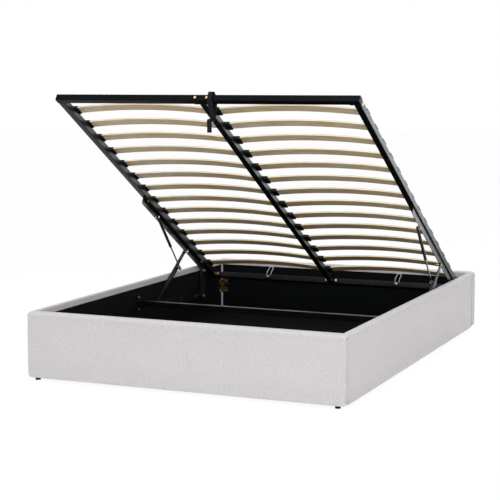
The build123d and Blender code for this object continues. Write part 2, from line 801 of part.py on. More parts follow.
def slat_holder(x0, x1, y, slat_tools):
    """Cap with sloped edges on top of a tube, with a pocket for each slat end."""
    half = holder_width / 2
    top = tube_size + holder_height
    body = block(x0, x1, y - half, y + half, tube_size, top)
    body = chamfer(body.edges().filter_by(Axis.Z), holder_corner_chamfer)
    body = chamfer(body.faces().sort_by(Axis.Z)[-1].edges(), holder_top_chamfer)
    return cut(body, slat_tools)


def slats_and_holders():
    left_span, right_span = slat_spans()
    outer = lid_half_width - holder_outer_inset
    inner = lid_half_width - tube_size - side_holder_reach
    centre_half = tube_size / 2 + centre_holder_reach
    left, centre, right = [], [], []
    for row, back in enumerate(holder_places()):
        left_slat = slat(*left_span, -back)
        right_slat = slat(*right_span, -back)
        save("slat_row_%02d" % (row + 1), [lid_place * left_slat, lid_place * right_slat])
        left.append(lid_place * slat_holder(-outer, -inner, -back, [left_slat]))
        right.append(lid_place * slat_holder(inner, outer, -back, [right_slat]))
        centre.append(lid_place * slat_holder(-centre_half, centre_half, -back, [left_slat, right_slat]))
    save("left_slat_holders", left)
    save("centre_slat_holders", centre)
    save("right_slat_holders", right)


def mattress_retainers():
    """Hairpin of wire held against the head tube by a clamp plate and a bolt."""
    loops = []
    middle = tube_size / 2
    y = -tube_size - retainer_wire_radius
    radius = retainer_width / 2
    for side in (-1, 1):
        x = side * retainer_x
        top = middle + retainer_height
        kink = middle + retainer_kink
        points = [(x - radius, y, middle), (x - radius, y, kink), (x - radius + retainer_lean, y, top),
                  (x + radius + retainer_lean, y, top), (x + radius, y, kink), (x + radius, y, middle)]
        path = FilletPolyline(*points, radius=retainer_bend)
        start = Plane(origin=points[0], z_dir=(0, 0, 1))
        wire = sweep(start * Circle(retainer_wire_radius), path=path)
        clamp_face = -tube_size - 2 * retainer_wire_radius
        clamp = block(x - retainer_clamp_width / 2, x + retainer_clamp_width / 2,
                      clamp_face, clamp_face - retainer_clamp_thickness,
                      middle - retainer_clamp_height / 2, middle + retainer_clamp_height / 2)
        clamp = clamp - pin_y(x, clamp_face + overrun, clamp_face - overrun, middle,
                              bolt_radius + bolt_clearance)
        loops += [lid_place * wire, lid_place * clamp]
    save("mattress_retainers", loops)


def pull_strap():
    """Webbing loop over the foot tube, tied below it, with a hanging tail."""
    centre = lid_pivot(lid_place, lid_length - tube_size / 2, -tube_size / 2)
    half = tube_size / 2
    angle = math.radians(lid_open_angle)
    wide = half * (math.cos(angle) + math.sin(angle)) + strap_clearance
    skew = half * (math.cos(angle) - math.sin(angle))
    knot = (centre[0], centre[1] - strap_knot_drop)
    front = (centre[0] - wide, centre[1] - skew)
    back = (centre[0] + wide, centre[1] + skew)
    crown_y, crown_z = centre[0] + strap_lean, centre[1] + strap_slack
    crown_front = (crown_y - strap_crown_width / 2, crown_z)
    crown_back = (crown_y + strap_crown_width / 2, crown_z)
    inside = make_face(Polyline(knot, front, crown_front, crown_back, back, close=True))
    inside = fillet(inside.vertices().sort_by(Axis.Y)[-2:], strap_bend)
    band = offset(inside, strap_thickness) - inside
    x0, x1 = strap_x - strap_width / 2, strap_x + strap_width / 2
    loop = plate(band, x0, x1)
    knot_block = Pos(strap_x, *knot) * Box(knot_width, knot_depth, knot_height)
    knot_block = fillet(knot_block.edges(), knot_radius)
    tail_top = knot[1] - knot_height / 2 + strap_thickness
    tail = block(x0, x1, knot[0] - tail_thickness / 2, knot[0] + tail_thickness / 2,
                 tail_top, tail_top - tail_length)
    save("pull_strap", [loop + knot_block + tail])


def main():
    os.makedirs("parts", exist_ok=True)
    end_panel("foot", -1, foot_panel_depth, foot_inner_y)
    end_panel("head", 1, head_panel_depth, head_inner_y)
    side_rail("left_rail", -1)
    side_rail("right_rail", 1)
    save("corner_brackets", [corner_bracket(side, end, wall_y) for side in (-1, 1)
                             for end, wall_y in ((-1, foot_inner_y), (1, head_inner_y))])
    save("bracket_screws", [screw(*place) for place in corner_screw_places() + base_screw_places()])
    base_floor()
    base_feet()
    cross_beam()
    base_brackets()
    front_arms()
    rear_links()
    lid_rails()
    gas_struts()
    lid_tubes()
    frame_bolts()
    tube_end_caps()
    slats_and_holders()
    mattress_retainers()
    pull_strap()


main()
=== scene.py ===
import json
import math

import bmesh
import bpy
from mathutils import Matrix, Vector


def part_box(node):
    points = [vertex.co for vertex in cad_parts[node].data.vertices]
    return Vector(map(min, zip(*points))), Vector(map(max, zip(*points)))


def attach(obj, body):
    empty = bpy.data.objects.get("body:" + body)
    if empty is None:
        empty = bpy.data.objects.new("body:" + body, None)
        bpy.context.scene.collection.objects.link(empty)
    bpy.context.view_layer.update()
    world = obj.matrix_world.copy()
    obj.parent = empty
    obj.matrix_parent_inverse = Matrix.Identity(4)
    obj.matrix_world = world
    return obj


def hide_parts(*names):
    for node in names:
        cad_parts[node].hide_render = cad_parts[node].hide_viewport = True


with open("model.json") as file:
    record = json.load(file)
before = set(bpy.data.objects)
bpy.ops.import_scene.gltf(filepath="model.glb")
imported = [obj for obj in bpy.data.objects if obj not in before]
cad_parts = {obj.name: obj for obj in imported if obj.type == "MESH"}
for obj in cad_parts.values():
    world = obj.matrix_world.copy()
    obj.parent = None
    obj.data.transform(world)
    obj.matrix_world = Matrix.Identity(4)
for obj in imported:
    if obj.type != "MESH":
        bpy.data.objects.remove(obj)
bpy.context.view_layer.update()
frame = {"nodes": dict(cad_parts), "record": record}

nodes = frame["nodes"]

# Camera at the photograph's view: how far it looks down and is turned, in degrees
CAMERA_DOWN = 6.773
CAMERA_TURN = 23.199

camera_data = bpy.data.cameras.new("camera")
camera = bpy.data.objects.new("camera", camera_data)
bpy.context.scene.collection.objects.link(camera)
camera.location = (2.600, -6.353, 1.322)
camera.rotation_euler = (math.radians(90 - CAMERA_DOWN), 0, math.radians(CAMERA_TURN))
camera_data.lens = 100.76
camera_data.sensor_width = 36
camera_data.clip_end = 100
bpy.context.scene.camera = camera

# Tilt of the open lid, and the direction along it from foot to head
LID_ANGLE = math.radians(31.2)
LID_ALONG = (0, math.cos(LID_ANGLE), -math.sin(LID_ANGLE))

# Range that holds nearly all of a noise's values
NOISE_SPREAD = (0.3, 0.7)

# Length of a wave texture's wave at a scale of 1
WAVE_LENGTH = math.tau / 20

# Sockets of the Mix node for colours: its factor with its two colours, and its result
MIX_INPUTS = (0, 6, 7)
MIX_RESULT = 2

# Weight of the soft mottle against the threads of the cloth
MOTTLE = 0.12

# Share of the grain in a slat's figure, and how far a slat's edge faces along the lid
GRAIN_SHARE = 0.65
EDGE_TURN = 0.7


# Helpers for the materials, whose textures are all in metres on the object
def add(tree, kind, values=(), **settings):
    """A shader node with its settings and its input values."""
    node = tree.nodes.new("ShaderNode" + kind)
    for name, value in settings.items():
        setattr(node, name, value)
    for socket, value in dict(values).items():
        node.inputs[socket].default_value = value
    return node


def start(name, roughness, metallic=0.0, ior=1.5):
    """A new material, its tree and its shader."""
    material = bpy.data.materials.new(name)
    material.use_nodes = True
    shader = material.node_tree.nodes["Principled BSDF"]
    shader.inputs["Roughness"].default_value = roughness
    shader.inputs["Metallic"].default_value = metallic
    shader.inputs["IOR"].default_value = ior
    return material, material.node_tree, shader


def noise(tree, scale, stretch=(1, 1, 1), detail=3):
    """Noise with this many lumps a metre, more of them along an axis whose stretch is over 1."""
    place = add(tree, "TexCoord")
    mapping = add(tree, "Mapping", {"Scale": stretch})
    texture = add(tree, "TexNoise", {"Scale": scale, "Detail": detail})
    tree.links.new(place.outputs["Object"], mapping.inputs["Vector"])
    tree.links.new(mapping.outputs[0], texture.inputs["Vector"])
    return texture.outputs[0]


def bands(tree, direction, pitch):
    """Fine bands across one axis, this far apart in metres."""
    place = add(tree, "TexCoord")
    texture = add(tree, "TexWave", {"Scale": WAVE_LENGTH / pitch}, bands_direction=direction)
    tree.links.new(place.outputs["Object"], texture.inputs["Vector"])
    return texture.outputs[1]


def combine(tree, operation, first, second):
    """Two values joined by a sum, a product or the like."""
    node = add(tree, "Math", operation=operation)
    for socket, value in zip(node.inputs, (first, second)):
        if isinstance(value, (int, float)):
            socket.default_value = value
        else:
            tree.links.new(value, socket)
    return node.outputs[0]


def ramp(tree, factor, low, high, spread=NOISE_SPREAD):
    """A colour from low to high as the factor goes over the spread."""
    node = add(tree, "ValToRGB")
    first, last = node.color_ramp.elements
    first.position, last.position = spread
    first.color = (*low, 1)
    last.color = (*high, 1)
    tree.links.new(factor, node.inputs[0])
    return node.outputs[0]


def mixed(tree, factor, first, second):
    """A colour between two others."""
    node = add(tree, "Mix", data_type="RGBA")
    for socket, value in zip(MIX_INPUTS, (factor, first, second)):
        tree.links.new(value, node.inputs[socket])
    return node.outputs[MIX_RESULT]


def between(tree, factor, low, high):
    """A value from low to high as the factor goes over a noise's spread."""
    from_low, from_high = NOISE_SPREAD
    node = add(tree, "MapRange", {"From Min": from_low, "From Max": from_high, "To Min": low, "To Max": high})
    tree.links.new(factor, node.inputs["Value"])
    return node.outputs[0]


def raise_bumps(tree, shader, height, distance, strength, edge=0.0):
    """Bumps of this height in metres, over edges that are rounded where edge is given."""
    node = add(tree, "Bump", {"Strength": strength, "Distance": distance})
    tree.links.new(height, node.inputs["Height"])
    if edge:
        rounded = add(tree, "Bevel", {"Radius": edge}, samples=4)
        tree.links.new(rounded.outputs[0], node.inputs["Normal"])
    tree.links.new(node.outputs[0], shader.inputs["Normal"])


# Materials
def cloth(name, low, high, pitch, sheen):
    """Plain weave with uneven threads and a soft mottle."""
    material, tree, shader = start(name, roughness=0.92)
    shader.inputs["Specular IOR Level"].default_value = 0.1
    shader.inputs["Sheen Weight"].default_value = sheen
    shader.inputs["Sheen Roughness"].default_value = 0.4
    x_bands, y_bands, z_bands = [bands(tree, axis, pitch) for axis in "XYZ"]
    weave = combine(tree, "MULTIPLY", x_bands, z_bands)
    weave = combine(tree, "ADD", weave, combine(tree, "MULTIPLY", y_bands, z_bands))
    weave = combine(tree, "ADD", weave, combine(tree, "MULTIPLY", x_bands, y_bands))
    coarse = noise(tree, 170, stretch=(0.7, 0.7, 1.8), detail=2)
    fine = noise(tree, 420, detail=1)
    threads = combine(tree, "ADD", coarse, fine)
    mottled = combine(tree, "ADD", threads, combine(tree, "MULTIPLY", noise(tree, 7), MOTTLE))
    tone = combine(tree, "MULTIPLY", mottled, 1 / (2 + MOTTLE))
    colour = ramp(tree, tone, low, high, spread=(0.40, 0.60))
    tree.links.new(colour, shader.inputs["Base Color"])
    height = combine(tree, "ADD", weave, threads)
    raise_bumps(tree, shader, height, distance=0.0004, strength=0.35)
    return material


def paint(name, colour, roughness, metallic=0.0, ior=1.5):
    """Satin powder coat with a fine orange peel and a few rubbed spots."""
    material, tree, shader = start(name, roughness, metallic, ior)
    rubbed = noise(tree, 30)
    lighter = [1.25 * value for value in colour]
    tone = ramp(tree, rubbed, colour, lighter, spread=(0.45, 0.75))
    tree.links.new(tone, shader.inputs["Base Color"])
    tree.links.new(between(tree, rubbed, roughness - 0.04, roughness + 0.06), shader.inputs["Roughness"])
    raise_bumps(tree, shader, noise(tree, 500), distance=0.00004, strength=0.2, edge=0.0012)
    return material


def timber():
    """Laminated birch: grain along the slats, and cream edges with fine streaks, whose cream is partly the
    laminate's edge and partly a painted highlight.
    """
    material, tree, shader = start("birch_slat", roughness=0.45)
    grain = noise(tree, 6, stretch=(1, 26, 26), detail=5)
    streaks = noise(tree, 40, stretch=(0.2, 12, 12), detail=2)
    figure = combine(tree, "ADD", combine(tree, "MULTIPLY", grain, GRAIN_SHARE),
                     combine(tree, "MULTIPLY", streaks, 1 - GRAIN_SHARE))
    grey_face = ramp(tree, figure, (0.42, 0.36, 0.27), (0.60, 0.53, 0.42), spread=(0.38, 0.62))
    warm_face = ramp(tree, figure, (0.40, 0.29, 0.15), (0.58, 0.46, 0.27), spread=(0.38, 0.62))
    warmth = between(tree, noise(tree, 8, stretch=(0.5, 1, 1), detail=1), 0, 0.9)
    face = mixed(tree, warmth, grey_face, warm_face)
    # Cream on the slats' edges: partly the laminate's own edge colour, partly a painted highlight of light
    # falling on them from the front and top
    edge = ramp(tree, streaks, (0.68, 0.55, 0.36), (0.90, 0.78, 0.56), spread=(0.4, 0.6))
    place = add(tree, "TexCoord")
    side = add(tree, "VectorMath", {1: LID_ALONG}, operation="DOT_PRODUCT")
    tree.links.new(place.outputs["Normal"], side.inputs[0])
    turn = combine(tree, "ABSOLUTE", side.outputs["Value"], 0)
    is_highlighted_edge = combine(tree, "GREATER_THAN", turn, EDGE_TURN)
    tree.links.new(mixed(tree, is_highlighted_edge, face, edge), shader.inputs["Base Color"])
    tree.links.new(between(tree, figure, 0.38, 0.52), shader.inputs["Roughness"])
    raise_bumps(tree, shader, figure, distance=0.0004, strength=0.3, edge=0.0012)
    return material


def zinc(name, low, high):
    """Passivated steel with an uneven cast."""
    material, tree, shader = start(name, roughness=0.3, metallic=1.0)
    cast = noise(tree, 60, detail=2)
    tree.links.new(ramp(tree, cast, low, high), shader.inputs["Base Color"])
    tree.links.new(between(tree, cast, 0.24, 0.4), shader.inputs["Roughness"])
    raise_bumps(tree, shader, noise(tree, 700), distance=0.0001, strength=0.1, edge=0.001)
    return material


def polished():
    """Polished piston rod with fine marks."""
    material, tree, shader = start("bright_rod", roughness=0.2, metallic=1.0)
    marks = noise(tree, 500)
    colour = ramp(tree, marks, (0.28, 0.28, 0.29), (0.36, 0.36, 0.37))
    tree.links.new(colour, shader.inputs["Base Color"])
    tree.links.new(between(tree, marks, 0.16, 0.28), shader.inputs["Roughness"])
    raise_bumps(tree, shader, marks, distance=0.0001, strength=0.1)
    return material


def plastic():
    """Moulded black plastic with a fine spark grain."""
    material, tree, shader = start("black_plastic", roughness=0.5, ior=1.25)
    grain = noise(tree, 1200)
    colour = ramp(tree, grain, (0.003, 0.003, 0.004), (0.009, 0.009, 0.010))
    tree.links.new(colour, shader.inputs["Base Color"])
    tree.links.new(between(tree, grain, 0.45, 0.6), shader.inputs["Roughness"])
    raise_bumps(tree, shader, grain, distance=0.0002, strength=0.3, edge=0.001)
    return material


def board(name, low, high):
    """Pressed board with fine chips."""
    material, tree, shader = start(name, roughness=0.8)
    shader.inputs["Specular IOR Level"].default_value = 0.04
    place = add(tree, "TexCoord")
    chips = add(tree, "TexVoronoi", {"Scale": 260})
    tree.links.new(place.outputs["Object"], chips.inputs["Vector"])
    colour = ramp(tree, chips.outputs["Distance"], low, high, spread=(0.1, 0.6))
    tree.links.new(colour, shader.inputs["Base Color"])
    raise_bumps(tree, shader, chips.outputs["Distance"], distance=0.0003, strength=0.3)
    return material


def webbing():
    """Black webbing with fine cross ribs."""
    material, tree, shader = start("webbing", roughness=0.8)
    shader.inputs["Specular IOR Level"].default_value = 0.2
    ribs = combine(tree, "ADD", bands(tree, "Z", 0.0016), bands(tree, "X", 0.002))
    fuzz = noise(tree, 400)
    colour = ramp(tree, fuzz, (0.003, 0.003, 0.004), (0.010, 0.010, 0.011))
    tree.links.new(colour, shader.inputs["Base Color"])
    raise_bumps(tree, shader, combine(tree, "ADD", ribs, fuzz), distance=0.0005, strength=0.4)
    return material


materials = {
    "upholstery": cloth("upholstery", (0.565, 0.545, 0.555), (0.73, 0.71, 0.722), pitch=0.0014, sheen=0.1),
    "panel_board": board("panel_board", (0.30, 0.22, 0.14), (0.50, 0.40, 0.28)),
    "lining_cloth": cloth("lining_cloth", (0.0015, 0.002, 0.0025), (0.004, 0.005, 0.0055), pitch=0.001,
                          sheen=0),
    "dark_board": board("dark_board", (0.001, 0.0015, 0.002), (0.004, 0.0045, 0.005)),
    "frame_paint": paint("frame_paint", (0.002, 0.003, 0.004), roughness=0.3, ior=1.27),
    "mechanism_paint": paint("mechanism_paint", (0.008, 0.009, 0.012), roughness=0.3, ior=1.4),
    "wire_paint": paint("wire_paint", (0.32, 0.32, 0.34), roughness=0.35, metallic=0.6),
    "yellow_zinc": zinc("yellow_zinc", (0.78, 0.58, 0.30), (0.88, 0.76, 0.50)),
    "bright_rod": polished(),
    "birch_slat": timber(),
    "black_plastic": plastic(),
    "webbing": webbing(),
}
for part in frame["record"]["subparts"]:
    mesh = nodes[part["node"]].data
    mesh.materials.clear()
    mesh.materials.append(materials[part["material_slot"]])

# A darker zinc colour on the corner brackets, and a deeper black on the foot tube
dark_zinc = zinc("dark_zinc", (0.16, 0.10, 0.045), (0.34, 0.23, 0.11))
# Painted shade: the foot tube gets a darker, less reflective copy of the frame paint, standing in for the
# dark surroundings it reflects
foot_tube_paint = paint("foot_tube_paint", (0.0015, 0.002, 0.003), roughness=0.3, ior=1.17)
nodes["corner_brackets"].data.materials[0] = dark_zinc
nodes["lid_foot_tube"].data.materials[0] = foot_tube_paint

# Bolts through the struts' lower eyes: within this distance of the bed's middle, and under this height
EYE_BOLT_SIDE = 0.6955
EYE_BOLT_TOP = 0.36

# Top of the retainers' clamps, this far over their lowest point
CLAMP_HEIGHT = 0.014
CLAMP_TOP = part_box("mattress_retainers")[0][2] + CLAMP_HEIGHT


def repaint(node, material, chosen):
    """Another finish on the faces of a node whose centres are chosen."""
    mesh = nodes[node].data
    mesh.materials.append(material)
    for face in mesh.polygons:
        if chosen(face.center):
            face.material_index = 1


def is_eye_bolt(point):
    """Whether a point of a gas rod lies on the bolt through its eye."""
    return abs(point[0]) < EYE_BOLT_SIDE and point[2] < EYE_BOLT_TOP


repaint("left_gas_rod", materials["yellow_zinc"], is_eye_bolt)
repaint("right_gas_rod", materials["yellow_zinc"], is_eye_bolt)
repaint("mattress_retainers", materials["mechanism_paint"], lambda point: point[2] < CLAMP_TOP)

# Pieces that stand for soft nodes, in which points this close together are one
MERGE_DISTANCE = 0.00001


def piece(name, points, faces, body, slot, replaced):
    """A mesh piece that stands for one node, shaded smooth."""
    mesh = bpy.data.meshes.new(name)
    mesh.from_pydata(points, [], faces)
    shell = bmesh.new()
    shell.from_mesh(mesh)
    bmesh.ops.remove_doubles(shell, verts=shell.verts, dist=MERGE_DISTANCE)
    bmesh.ops.recalc_face_normals(shell, faces=shell.faces)
    shell.to_mesh(mesh)
    shell.free()
    mesh.shade_smooth()
    made = bpy.data.objects.new(name, mesh)
    bpy.context.scene.collection.objects.link(made)
    mesh.materials.append(materials[slot])
    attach(made, body)
    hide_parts(replaced)
    return made


def tube_faces(rows, count):
    """Faces between rows of points, each a closed ring of count points, and one over each end."""
    faces = []
    for row in range(rows - 1):
        for column in range(count):
            after = (column + 1) % count
            faces.append((row * count + column, row * count + after,
                          (row + 1) * count + after, (row + 1) * count + column))
    faces.append(tuple(range(count)))
    faces.append(tuple(range((rows - 1) * count, rows * count)))
    return faces


# Where the covers lie: the bed's outside, how deep they are over their boards, and the rails' two ends
BED_HALF_WIDTH = 0.755
BED_HALF_LENGTH = 1.060
COVER_BOTTOM = 0.012
COVER_TOP = 0.310
FOOT_DEPTH = 0.042
HEAD_DEPTH = 0.060
RAIL_DEPTH = 0.027
RAIL_START = -1.020
RAIL_END = 1.002

# Padding outside the boards, its play on them, its rounding over the top and the swell of its outer face
END_PAD = 0.010
RAIL_PAD = 0.008
BOARD_PLAY = 0.0003
END_RADIUS = 0.016
RAIL_RADIUS = 0.012
CROWN = 0.002

# Lip of cloth turned down inside, and its longer strip at the inner corners, which ends this far in
LIP_BOTTOM = 0.282
LIP_THICKNESS = 0.002
LIP_RADIUS = 0.005
CORNER_LIP_BOTTOM = 0.040
STRIP_END = 0.032

# Seam along the outer face: its height, its depth, and the share of the way to the rounding that it takes
SEAM_HEIGHT = 0.285
SEAM_DEPTH = 0.001
SEAM_REACH = 0.35

# Steps up the outer face and round the top and the lip, and heights of points on the inside
FACE_STEPS = 12
TOP_STEPS = 6
LIP_STEPS = 3
INSIDE_HIGH = 0.2
INSIDE_LOW = 0.1

# Distance between a cover's sections, and where they start in from the side of a panel
SECTION_STEP = 0.025
SECTIONS_START = 0.045

# Rounded edge at each end of a panel's cover: distance in from the end, depth on the outer face
END_EDGE = ((0, 0.0034), (0.0005, 0.0018), (0.0015, 0.0009), (0.0035, 0.0003), (0.0070, 0.0001),
            (0.0100, 0), (0.0130, 0))

# Seam round the end face of a panel's cover: distance in from the face's edge, depth
END_GROOVE = ((0.0150, 0), (0.0105, 0.0006), (0.0080, 0.0066), (0.0024, 0.0072), (0.0008, 0.0012))

# Share of the cover's depth over which that seam runs out, and how much of it the top and the bottom get
GROOVE_REACH = 0.9
GROOVE_HEIGHT_SHARE = 0.25

# Seam at each end of a rail's cover: distance in from the end, depth
RAIL_SEAM = ((0.0003, 0.0074), (0.0020, 0.0066), (0.0045, 0.0038), (0.0080, 0.0014), (0.0140, 0))

# How far in from the outer face and down from the top that seam reaches, and how much of it the top gets
PINCH_DEPTH = 0.0075
PINCH_HEIGHT = 0.010
PINCH_TOP_SHARE = 0.6

# Height of the padding's unevenness
RIPPLE = 0.0004


def cover_ring(depth, pad, radius, lip_end, lip_bottom, solid=False, inset=0, drop=0):
    """Points of a cover's section: distance in from its outer face, and height.

    It is solid where no board is inside it. Towards a panel's end the inset draws the outer face in, and
    the drop draws the top down and the bottom up.
    """
    wall = pad - BOARD_PLAY
    behind = depth - LIP_THICKNESS
    centre = COVER_TOP - radius
    outside = [(wall, COVER_BOTTOM)]
    for step in range(FACE_STEPS + 1):
        share = step / FACE_STEPS
        height = COVER_BOTTOM + share * (SEAM_HEIGHT - COVER_BOTTOM)
        outside.append((CROWN * (1 - math.sin(math.pi * share)), height))
    outside[-1] = (CROWN + SEAM_DEPTH, SEAM_HEIGHT)
    outside.append((SEAM_DEPTH, SEAM_HEIGHT + SEAM_REACH * (centre - SEAM_HEIGHT) + SEAM_DEPTH))
    for step in range(TOP_STEPS + 1):
        angle = math.radians(90 * step / TOP_STEPS)
        outside.append((radius - radius * math.cos(angle), centre + radius * math.sin(angle)))
    for step in range(LIP_STEPS + 1):
        angle = math.radians(90 * step / LIP_STEPS)
        across = lip_end - LIP_RADIUS + LIP_RADIUS * math.sin(angle)
        outside.append((across, COVER_TOP - LIP_RADIUS + LIP_RADIUS * math.cos(angle)))
    outside.append((lip_end, lip_bottom))
    outside.append((min(behind, lip_end), lip_bottom))
    if solid:
        inside = [(behind, INSIDE_HIGH), (behind, INSIDE_LOW), (behind, COVER_BOTTOM)]
    else:
        inside = [(behind, COVER_TOP - wall), (wall, COVER_TOP - wall), (wall, INSIDE_LOW)]
    low = COVER_BOTTOM + radius
    drawn = []
    for across, height in outside + inside:
        level = min(max(height, low), centre)
        inward = inset * max(0, 1 - across / radius)
        drawn.append((across + inward, height - (height - level) * drop / radius))
    return drawn


def shrunk(ring, amount):
    """A section drawn in by this much at its outer face, and by less at its other sides."""
    low = [min(values) for values in zip(*ring)]
    high = [max(values) for values in zip(*ring)]
    fixed = (low[0] + GROOVE_REACH * (high[0] - low[0]), (low[1] + high[1]) / 2)
    share = (1 - amount / (fixed[0] - low[0]), 1 - GROOVE_HEIGHT_SHARE * amount / (fixed[1] - low[1]))
    return [tuple(f + (value - f) * s for value, f, s in zip(point, fixed, share)) for point in ring]


def pinched(ring, amount):
    """A section with its outer face and its top drawn in, as at a seam."""
    drawn = []
    for across, height in ring:
        inward = amount * max(0, 1 - across / PINCH_DEPTH)
        downward = amount * max(0, (height - COVER_TOP + PINCH_HEIGHT) / PINCH_HEIGHT)
        drawn.append((across + inward, height - PINCH_TOP_SHARE * downward))
    return drawn


def ripple(along, height):
    """Slight unevenness of the padding."""
    return RIPPLE * math.sin(23 * along + 9 * height) * math.sin(31 * height + 5 * along)


def steps(low, high):
    """Places about a section's step apart between two ends, both ends among them."""
    count = max(1, round((high - low) / SECTION_STEP))
    return [low + (high - low) * step / count for step in range(count + 1)]


def cover(name, sections, place):
    """A cover from its sections, each a distance along and its ring, closed at both ends."""
    points = []
    for along, ring in sections:
        points += [place(across + ripple(along, height), along, height) for across, height in ring]
    faces = tube_faces(len(sections), len(sections[0][1]))
    made = piece(name + "_padded", points, faces, "base", "upholstery", name)
    bevel = made.modifiers.new("soft_edges", "BEVEL")
    bevel.width = 0.0018
    bevel.segments = 2
    bevel.limit_method = "ANGLE"
    bevel.angle_limit = math.radians(50)
    made.modifiers.new("shading", "WEIGHTED_NORMAL")


def end_cover(name, depth, place):
    """Cover of the foot or head panel, with a seam round each end and room for the rails' ends behind it."""
    behind = depth - LIP_THICKNESS

    def section(lip_end, lip_bottom=LIP_BOTTOM, **end):
        return cover_ring(depth, END_PAD, END_RADIUS, lip_end, lip_bottom, **end)

    edge = []
    for gap, inset in END_EDGE:
        drop = END_RADIUS - math.sqrt(END_RADIUS ** 2 - (END_RADIUS - gap) ** 2)
        if gap <= END_PAD:
            edge.append((gap, section(behind, solid=True, inset=inset, drop=drop)))
        if gap >= END_PAD:
            edge.append((gap, section(behind, inset=inset, drop=drop)))
    groove = [(gap, shrunk(edge[0][1], amount)) for amount, gap in END_GROOVE]
    at_rail = section(behind)
    corner = section(depth, CORNER_LIP_BOTTOM)
    plain = section(depth)
    half = groove + edge + [(END_RADIUS, at_rail), (RAIL_DEPTH, at_rail), (RAIL_DEPTH, corner),
                            (STRIP_END, corner), (STRIP_END, plain)]
    first = SECTIONS_START - BED_HALF_WIDTH
    sections = [(gap - BED_HALF_WIDTH, ring) for gap, ring in half]
    sections += [(along, plain) for along in steps(first, -first)]
    sections += [(BED_HALF_WIDTH - gap, ring) for gap, ring in reversed(half)]
    cover(name, sections, place)


def rail_cover(name, place):
    """Cover of a side rail, with a cloth strip down each inner corner and a seam at each end."""
    corner = cover_ring(RAIL_DEPTH, RAIL_PAD, RAIL_RADIUS, RAIL_DEPTH, CORNER_LIP_BOTTOM)
    plain = cover_ring(RAIL_DEPTH, RAIL_PAD, RAIL_RADIUS, RAIL_DEPTH, LIP_BOTTOM)
    ends = [(gap, pinched(corner, amount)) for gap, amount in RAIL_SEAM]
    seam_end = RAIL_SEAM[-1][0]
    sections = [(RAIL_START + gap, ring) for gap, ring in ends]
    sections += [(along, plain) for along in steps(RAIL_START + seam_end, RAIL_END - seam_end)]
    sections += [(RAIL_END - gap, ring) for gap, ring in reversed(ends)]
    cover(name, sections, place)


end_cover("foot_cover", FOOT_DEPTH, lambda across, along, height: (along, across - BED_HALF_LENGTH, height))
end_cover("head_cover", HEAD_DEPTH, lambda across, along, height: (-along, BED_HALF_LENGTH - across, height))
rail_cover("right_rail_cover", lambda across, along, height: (BED_HALF_WIDTH - across, along, height))
rail_cover("left_rail_cover", lambda across, along, height: (across - BED_HALF_WIDTH, along, height))

# Pull strap, from the middle of the foot tube: its loop over the tube, and its tail under the knot
STRAP_LOOP = ((0.000, -0.003, -0.083), (-0.001, -0.0145, -0.040), (-0.0045, -0.0222, -0.0052),
              (-0.0065, -0.0150, 0.0160), (-0.008, -0.0020, 0.0312), (-0.008, 0.0060, 0.0325),
              (-0.007, 0.0130, 0.0300), (-0.004, 0.0195, 0.0180), (0.000, 0.0225, 0.0050),
              (0.0035, 0.0140, -0.035), (0.001, 0.003, -0.083))
STRAP_TAIL = ((-0.004, -0.002, -0.084), (-0.009, -0.0105, -0.0865), (-0.011, -0.0120, -0.094),
              (-0.0115, -0.0095, -0.110), (-0.0115, -0.0085, -0.126), (-0.0115, -0.0090, -0.1435))
STRAP_WIDTH = 0.0225
LOOP_THICKNESS = 0.002
TAIL_THICKNESS = 0.0022

# Parts of the strap's line between two points, and width of the band's thin edges in thicknesses
LINE_PARTS = 6
BAND_EDGE = 0.3

# Knot: its place from the tube's middle, the half sizes and steps of its line, and the band wound along it
KNOT_SIDE = -0.001
KNOT_DOWN = 0.089
KNOT_SIZE = (0.0090, 0.0050, 0.0080)
KNOT_STEPS = 72
KNOT_BAND_SIDES = 8
KNOT_BAND_HALF_THICKNESS = 0.0022
KNOT_BAND_HALF_WIDTH = 0.0052


def smooth_line(points):
    """A smooth line through the points."""
    ends = [points[0]] + points + [points[-1]]
    line = []
    for before, first, second, after in zip(ends, ends[1:], ends[2:], ends[3:]):
        for step in range(LINE_PARTS):
            t = step / LINE_PARTS
            line.append([0.5 * (2 * b + (c - a) * t + (2 * a - 5 * b + 4 * c - d) * t * t
                                + (3 * b - a - 3 * c + d) * t ** 3)
                         for a, b, c, d in zip(before, first, second, after)])
    line.append(list(points[-1]))
    return line


def band(points, thickness):
    """Rows of points of the flat strap along a line in an upright plane, thinner at its two edges."""
    rows = []
    for number, (x, y, z) in enumerate(points):
        before = points[max(0, number - 1)]
        after = points[min(len(points) - 1, number + 1)]
        along_y, along_z = after[1] - before[1], after[2] - before[2]
        size = math.hypot(along_y, along_z)
        out_y, out_z = -along_z / size, along_y / size
        half, edge = STRAP_WIDTH / 2, BAND_EDGE * thickness
        section = [(-half, 0), (-half + edge, -thickness / 2), (half - edge, -thickness / 2),
                   (half, 0), (half - edge, thickness / 2), (-half + edge, thickness / 2)]
        rows.append([(x + side, y + out * out_y, z + out * out_z) for side, out in section])
    return rows


def knot(centre):
    """Rows of points of the strap wound into an overhand knot."""
    rows = []
    for step in range(KNOT_STEPS + 1):
        turn = math.tau * step / KNOT_STEPS
        x = KNOT_SIZE[0] * (math.sin(turn) + 2 * math.sin(2 * turn)) / 3
        z = KNOT_SIZE[2] * (math.cos(turn) - 2 * math.cos(2 * turn)) / 3
        y = -KNOT_SIZE[1] * math.sin(3 * turn)
        reach = math.hypot(x, z)
        row = []
        for part in range(KNOT_BAND_SIDES):
            angle = math.tau * part / KNOT_BAND_SIDES
            out = 1 + KNOT_BAND_HALF_THICKNESS * math.cos(angle) / reach
            row.append((centre[0] + x * out,
                        centre[1] + y + KNOT_BAND_HALF_WIDTH * math.sin(angle),
                        centre[2] + z * out))
        rows.append(row)
    return rows


